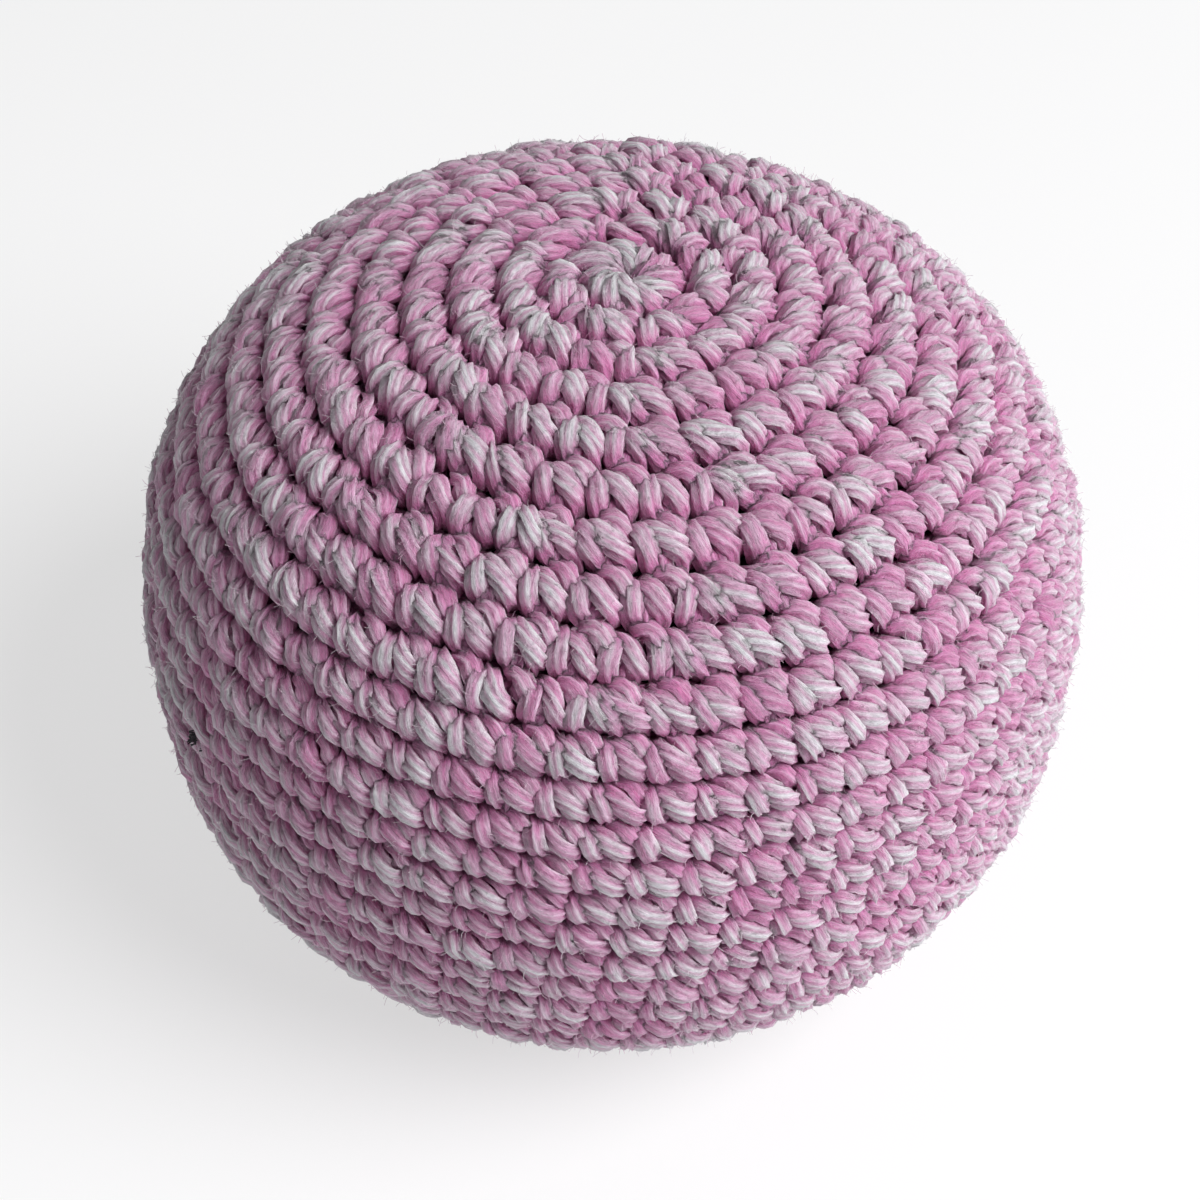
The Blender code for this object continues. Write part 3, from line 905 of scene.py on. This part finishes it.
def make_bag(size, inset, side):
    """The bag as one closed shell, with its creases drawn together in the neck."""
    outer, inner = (bag_face(size, inset, side, inward) for inward in (0.0, size.thickness))
    radius, height = np.concatenate([outer, inner[::-1]]).T[:, :, None]
    share = np.linspace(0, 1, size.rings)
    share = np.concatenate([share, share[::-1]])[:, None]
    turn = np.linspace(0, FULL_TURN, size.sides, endpoint=False)
    uneven = np.cos(size.pleats * turn + 2.2 * np.sin(turn) + 1.3 * np.sin(2 * turn + 1.0))
    side_share = 1 - size.well_width / 2 / side.length
    nearing = np.clip((share - 0.35) / (side_share - 0.45), 0.0, 1.0) ** 2
    gathered = np.clip((share - 0.955) / 0.02, 0.0, 1.0)
    crease = size.crease_depth * nearing * (1 - gathered) * 0.5 * (1 - uneven)
    crease = crease * np.minimum(1.0, radius / (size.well_width / 2))
    under = height <= LINER_LOW[2] + 0.004
    reach = radius + size.pleat_depth * gathered * np.cos(size.pleats * turn) - crease * ~under
    lift = crease * under * (1 - gathered)
    cloth = np.stack([reach * np.cos(turn), reach * np.sin(turn), height + lift], axis=2)
    poles = [(0.0, 0.0, height[ring, 0]) for ring in (0, -1)]
    verts = [poles[0], *cloth[1:-1].reshape(-1, 3).tolist(), poles[1]]

    def point(ring, cell):
        """The number of a point. Each pole is a single one."""
        return 0 if ring == 0 else min(1 + (ring - 1) * size.sides + cell % size.sides, len(verts) - 1)

    faces, places = [], []
    last = 2 * size.rings - 1
    for ring in range(last):
        for cell in range(size.sides):
            corners = [(ring, cell), (ring, cell + 1), (ring + 1, cell + 1), (ring + 1, cell)]
            if ring == 0:
                corners[:2] = [(0, cell + 0.5)]
            if ring + 1 == last:
                corners[2:] = [(last, cell + 0.5)]
            faces.append([point(*corner) for corner in corners[::-1]])
            places += corners[::-1]
    item = add_item("liner_bag_cloth", verts, [], faces)
    up, across = np.array(places).T
    put_map(item.data, across / size.sides, up / last)
    item.data.shade_smooth()
    return item


def cloth_material(size):
    """Plain dark weave, with the slight unevenness of its threads."""
    made = Finish("liner_cloth")
    place = made.get("ShaderNodeSeparateXYZ", {0: made.get("ShaderNodeUVMap", uv_map="OFBake")})
    warp = made.math("SINE", place * (FULL_TURN * 420))
    weft = made.math("SINE", place.other(1) * (FULL_TURN * 480))
    uneven = made.noise(made.get("ShaderNodeTexCoord", None, "Object"), 900.0, 3.0)
    level = (warp * weft + 1.0) * 0.5 * uneven
    shade = made.ramp(level, (0.05, size.dark), (0.6, size.lit))
    return made.close(shade, level, 0.00008, 0.6, {"Roughness": 0.92, "Sheen Weight": 0.1})


def thread_material(size, name):
    """Dark spun thread, with fine fibres along its plies."""
    made = Finish(name)
    fibre = made.noise(made.joined(made.kept("along") * 1500.0, made.kept("across_x") * 3.0), 2.0, 3.0)
    shade = made.ramp(fibre, (0.35, size.dark), (0.70, size.lit))
    return made.close(shade, fibre, 0.00004, 0.5, {"Roughness": 0.7})


def spin_threads(name, lines, width, plies, fullness, twist, finish, rows):
    """Plied threads along rows of points, as one object."""
    edges, along, first = [], [], 0
    for line in lines:
        edges += [(first + i, first + i + 1) for i in range(len(line) - 1)]
        start = along[-1] + width if along else 0.0
        along += (start + run_along(line)).tolist()
        first += len(line)
    item = add_item(name, np.concatenate(lines).tolist(), edges, [])
    put_values(item.data, "along", along)
    put_values(item.data, "girth", np.ones(first))
    sides = 5
    run_tree(item, plied_yarn_tree(), {
        "Plies": plies, "Yarn Width": width, "Twist Length": twist, "Ply Fullness": fullness,
        "Sides": sides, "Wander": 0.1, "Seed": 1.0, "Material": finish})
    note_sections(item.data, sides)
    lay_out_yarn(item.data, sides, float(along[-1]), rows)
    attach(item, "root")
    return item


class FOOTBAG_OT_liner(bpy.types.Operator):
    """Makes the cloth bag with its gathered neck, its thread and the tuft that shows"""
    bl_idname = "footbag.liner"
    bl_label = "Make the cloth bag"

    def execute(self, context):
        size = context.scene.footbag_liner
        cover = context.scene.footbag_cover
        side = BallSide(cover)
        bag = make_bag(size, cover.cloth_inset, side)
        bag.data.materials.append(cloth_material(size))
        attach(bag, "root")
        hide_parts("liner_bag")

        turns = np.linspace(0.0, size.thread_turns, size.thread_turns * 40 + 1)
        radius = (TIE_HIGH[0] - TIE_LOW[0] - size.thread_width) / 2
        height = np.interp(turns, [0, turns[-1]], [
            TIE_LOW[2] + size.thread_width / 2, TIE_HIGH[2] - size.thread_width / 2])
        turned = FULL_TURN * turns
        line = np.stack([radius * np.cos(turned), radius * np.sin(turned), height], axis=1)
        tie = spin_threads(
            "liner_tie_thread", [line], size.thread_width * 0.94, 3, 1.4, 0.0022,
            thread_material(size, "tie_thread"), 8)
        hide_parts("liner_tie")

        chance = np.random.default_rng(size.seed)
        share = np.linspace(0.0, 1.0, 9)[:, None]
        around = np.interp(size.tuft_run, side.run, side.radius)
        lines = []
        for _ in range(size.tuft_threads):
            foot = chance.normal(0.0, 0.00012, 2)
            tip = chance.normal(0.0, 1.0, 2) * (0.00030, 0.00050) + (0.0, 0.0001)
            bow = chance.normal(0.0, 0.00012, 2)
            aside = foot + (tip - foot) * share**1.5 + bow * np.sin(math.pi * share)
            lift = -cover.cloth_inset + (cover.cloth_inset + chance.uniform(-0.0009, -0.0001)) * share[:, 0]
            turned = size.tuft_angle + aside[:, 0] / around
            lines.append(side.place(turned, size.tuft_run + aside[:, 1], lift))
        tuft = spin_threads(
            "liner_bag_tuft", lines, size.tuft_width, 2, 1.3, 0.0012,
            thread_material(size, "tuft_thread"), 12)
        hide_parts("liner_bag")
        return {"FINISHED"}


class FillingSettings(bpy.types.PropertyGroup):
    """Sizes and colours of the pellets"""
    pellet_width: length("Pellet width", "Width of one pellet", 0.0045)
    pellet_height: factor("Pellet height", "Height of one pellet against its width", 0.80)
    pellets: count("Pellets", "Pellets in the bag", 750)
    clearance: length("Clearance", "Gap between the cloth and the pellets", 0.0002)
    seed: count("Seed", "Picks another lie of the pellets", 5)
    pale: colour("Pale", "The lightest pellets", (0.72, 0.71, 0.66))
    dull: colour("Dull", "The darkest pellets", (0.52, 0.51, 0.46))


def packed_pellets(size, side, inset, well_radius, well_top):
    """Middles of the pellets as they have settled: pressed apart, in the bag and level on top."""
    chance = np.random.default_rng(size.seed)
    reach = size.pellet_width / 2
    wall = side.place(0.0, np.linspace(0.0, side.length, 200), -(inset + reach))
    middle = (wall[0, 2] + wall[-1, 2]) / 2
    tilt = np.arctan2(wall[:, 2] - middle, wall[:, 0])[::-1]
    far = np.hypot(wall[:, 2] - middle, wall[:, 0])[::-1]
    level = PELLETS_HIGH[2] - reach
    place = chance.uniform(-1.0, 1.0, (size.pellets, 3)) * wall[:, 0].max() * 0.9 + (0, 0, middle)
    well_radius, well_top = well_radius + reach, well_top + reach
    for step in range(400):
        if step % 8 == 0:
            gap = place[:, None] - place[None]
            one, two = np.nonzero(np.triu((gap**2).sum(axis=2) < (1.5 * size.pellet_width) ** 2, 1))
        gap = place[one] - place[two]
        distance = np.linalg.norm(gap, axis=1) + 1e-9
        push = gap * (np.clip(size.pellet_width * 0.97 - distance, 0.0, None) / distance)[:, None] * 0.45
        np.add.at(place, one, push)
        np.add.at(place, two, -push)
        place[:, 2] = np.minimum(place[:, 2] - 0.00002, level)
        radius = np.hypot(place[:, 0], place[:, 1]) + 1e-9
        height = place[:, 2] - middle
        share = np.minimum(1.0, np.interp(np.arctan2(height, radius), tilt, far) / np.hypot(radius, height))
        place = (place - (0, 0, middle)) * share[:, None] + (0, 0, middle)
        radius = radius * share
        low = (radius < well_radius) & (place[:, 2] < well_top)
        up = low & (well_top - place[:, 2] < well_radius - radius)
        place[up, 2] = well_top
        place[low & ~up, :2] *= (well_radius / radius[low & ~up])[:, None]
    return place, chance


def pellet_tree():
    """Puts one small rounded pellet on each point, turned as the point says."""
    tree = Shape("Pellets", {"Pellet Width": "Float", "Pellet Height": "Float"})
    given = tree.given
    ball = tree.get("GeometryNodeMeshIcoSphere", {"Radius": given["Pellet Width"] * 0.5, "Subdivisions": 2})
    flat = tree.joined(1.0, 1.0, given["Pellet Height"])
    ball = tree.get("GeometryNodeTransform", {"Geometry": ball, "Scale": flat})
    return tree.close(tree.get("GeometryNodeInstanceOnPoints", {
        "Points": given["Geometry"], "Instance": ball, "Rotation": tree.kept("turned", "FLOAT_VECTOR")}))


def pellet_material(size):
    """Reground plastic: cloudy, and not quite the same from pellet to pellet."""
    made = Finish("pellet_plastic")
    where = made.get("ShaderNodeTexCoord", None, "Object")
    shade = made.ramp(made.noise(where, 190.0, 2.0), (0.38, size.dull), (0.60, size.pale))
    fine = made.noise(where, 1600.0, 3.0)
    return made.close(shade, fine, 0.00006, 0.3, {"Roughness": made.spread(fine, 0.0, 1.0, 0.36, 0.58)})


class FOOTBAG_OT_filling(bpy.types.Operator):
    """Fills the cloth bag with loose pellets"""
    bl_idname = "footbag.filling"
    bl_label = "Fill the bag"

    def execute(self, context):
        size = context.scene.footbag_filling
        cover = context.scene.footbag_cover
        liner = context.scene.footbag_liner
        inset = cover.cloth_inset + liner.thickness + size.clearance
        top = TIE_LOW[2] - liner.neck_clearance + liner.well_depth + liner.thickness + size.clearance
        place, chance = packed_pellets(
            size, BallSide(cover), inset, liner.well_width / 2 + size.clearance, top)
        item = add_item("pellet_filling_pellets", place.tolist(), [], [])
        layer = item.data.attributes.new("turned", "FLOAT_VECTOR", "POINT")
        layer.data.foreach_set("vector", chance.uniform(0.0, math.pi, place.size).astype(np.float32))
        run_tree(item, pellet_tree(), {
            "Pellet Width": size.pellet_width, "Pellet Height": size.pellet_height,
            "Material": pellet_material(size)})
        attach(item, "root")
        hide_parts("pellet_filling")
        return {"FINISHED"}


# The stage


class StageSettings(bpy.types.PropertyGroup):
    """Camera, floor and light"""
    distance: length("Camera distance", "From the middle of the ball to the camera", 0.145)
    height: angle("Camera elevation", "How far above the horizon the camera stands", 45.0)
    roll: FloatProperty(
        name="Camera roll", description="How far the camera is turned about its view",
        default=0.041, subtype="ANGLE")
    lens: FloatProperty(name="Lens", description="Focal length", default=69.5, unit="CAMERA")
    key: FloatProperty(
        name="Key light", description="Power of the window light", default=3.08, unit="POWER")
    fill: FloatProperty(name="Fill", description="Strength of the light from all round", default=0.225)


def floor_material():
    """Pale paper, which the camera sees a little lighter than the light makes it."""
    made = Finish("pale_floor")
    made.put((0.86, 0.86, 0.87, 1), made.shader.inputs["Base Color"])
    made.put(0.9, made.shader.inputs["Roughness"])
    glow = made.get("ShaderNodeEmission", {"Color": (1, 1, 1, 1), "Strength": 1.0})
    paper = Wire(made, made.shader.outputs[0])
    both = made.get("ShaderNodeMixShader", {0: seen_straight(made) * 0.62, 1: paper, 2: glow})
    made.put(both, made.tree.nodes["Material Output"].inputs["Surface"])
    return made.made


class FOOTBAG_OT_stage(bpy.types.Operator):
    """Sets the floor, the light and the camera"""
    bl_idname = "footbag.stage"
    bl_label = "Set the stage"

    def execute(self, context):
        scene = context.scene
        size = scene.footbag_stage
        middle = Vector((0.0, 0.0, float(COVER_HIGH[2]) - 0.0246))
        floor = add_item("floor", [
            (2 * math.cos(a), 2 * math.sin(a), 0.0) for a in np.linspace(0, FULL_TURN, 65)[:-1]
        ], [], [tuple(range(64))])
        floor.data.materials.append(floor_material())

        scene.world = bpy.data.worlds.new("studio")
        scene.world.use_nodes = True
        sky = Graph(scene.world.node_tree)
        shade = sky.tree.nodes["Background"].inputs
        level = {"Value": seen_straight(sky), "To Min": size.fill, "To Max": 1.0}
        sky.put(sky.get("ShaderNodeMapRange", level), shade["Strength"])
        sky.put((1, 1, 1, 1), shade["Color"])

        light = bpy.data.lights.new("window", "AREA")
        light.energy = size.key
        light.shape = "DISK"
        light.size = 0.34
        lamp = bpy.data.objects.new("window", light)
        lamp.location = (0.300, -0.140, 0.370)
        lamp.rotation_euler = (lamp.location - middle).to_track_quat("Z", "Y").to_euler()
        scene.collection.objects.link(lamp)

        data = bpy.data.cameras.new("camera")
        data.lens = size.lens
        data.sensor_width = 36.0
        data.shift_x = -13.1 / 1200
        data.shift_y = -18.0 / 1200
        data.clip_start = 0.005
        camera = bpy.data.objects.new("camera", data)
        back = Vector((0.0, -math.cos(size.height), math.sin(size.height)))
        look = back.to_track_quat("Z", "Y").to_matrix().to_4x4()
        camera.matrix_world = (
            Matrix.Translation(middle + back * size.distance) @ look @ Matrix.Rotation(size.roll, 4, "Z"))
        scene.collection.objects.link(camera)
        scene.camera = camera
        scene.view_settings.view_transform = "Standard"
        return {"FINISHED"}


class VIEW3D_PT_footbag(bpy.types.Panel):
    """Lists the pieces of the footbag"""
    bl_label = "Footbag"
    bl_space_type = "VIEW_3D"
    bl_region_type = "UI"
    bl_category = "Footbag"

    def draw(self, context):
        for step in STEPS:
            self.layout.operator(step.bl_idname)


STEPS = (FOOTBAG_OT_cover, FOOTBAG_OT_liner, FOOTBAG_OT_filling, FOOTBAG_OT_stage)
SETTINGS = {
    "footbag_cover": CoverSettings,
    "footbag_liner": LinerSettings,
    "footbag_filling": FillingSettings,
    "footbag_stage": StageSettings,
}
CLASSES = (*SETTINGS.values(), *STEPS, VIEW3D_PT_footbag)


def register():
    for made in CLASSES:
        bpy.utils.register_class(made)
    for name, group in SETTINGS.items():
        setattr(bpy.types.Scene, name, PointerProperty(type=group))


def unregister():
    for name in SETTINGS:
        delattr(bpy.types.Scene, name)
    for made in reversed(CLASSES):
        bpy.utils.unregister_class(made)


def main():
    """Builds every piece and sets the stage."""
    register()
    bpy.ops.footbag.cover()
    bpy.ops.footbag.liner()
    bpy.ops.footbag.filling()
    bpy.ops.footbag.stage()


if __name__ == "__main__":
    main()
